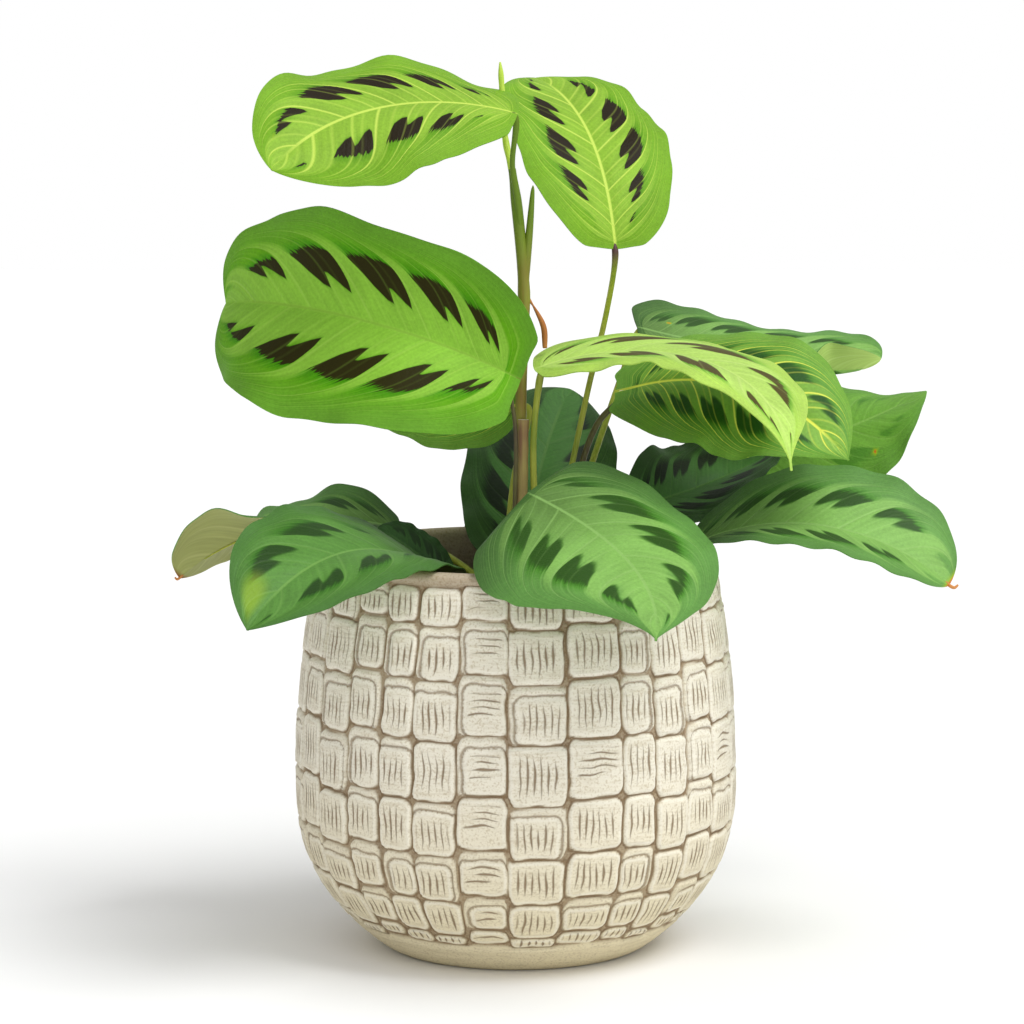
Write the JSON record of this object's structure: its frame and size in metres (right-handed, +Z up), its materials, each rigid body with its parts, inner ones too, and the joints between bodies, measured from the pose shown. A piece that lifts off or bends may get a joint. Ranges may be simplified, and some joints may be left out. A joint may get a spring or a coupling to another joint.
{
  "type": "potted prayer plant",
  "caption": "Prayer plant with broad patterned leaves on long stalks in a round stoneware pot covered with raised, comb-scratched tiles.",
  "frame": {"origin": "centre of the pot's flat underside", "axes": "+Z up, front of the plant towards -Y, +X to the right as seen from the front"},
  "size_m": [0.347, 0.2759, 0.3796],
  "materials": {
    "pot": "matt stoneware with a cream wash over brown joints",
    "soil": "crumbly potting soil",
    "stem": "satin green stems with dry brown sheaths",
    "leaf_light": "satin light green blade with brown patches",
    "leaf_vivid": "satin vivid green blade with dark brown patches",
    "leaf_lime": "satin pale lime blade with green patches",
    "leaf_striped": "satin blade with bright yellow veins on green",
    "leaf_green": "satin mid green blade with dark patches",
    "leaf_dark": "satin dark green blade with near black patches",
    "leaf_pale": "dull pale underside of a turned blade"
  },
  "bodies": {
    "root": {"pot": "pot", "soil": "soil", "stem_main": "stem", "stem_stub": "stem", "leaf_top_left": "leaf_light", "leaf_top_right": "leaf_light", "leaf_big_left": "leaf_vivid", "leaf_under_left": "leaf_striped", "leaf_back_upright": "leaf_dark", "leaf_front": "leaf_green", "leaf_low_left": "leaf_green", "leaf_low_left_back": "leaf_dark", "leaf_far_left": "leaf_pale", "leaf_inner_left": "leaf_dark", "leaf_lime_right": "leaf_lime", "leaf_striped_right": "leaf_striped", "leaf_upper_right": "leaf_green", "leaf_pointed_right": "leaf_green", "leaf_low_right": "leaf_green", "leaf_dark_right": "leaf_dark", "leaf_back": "leaf_green", "leaf_back_right": "leaf_green"}
  },
  "joints": []
}
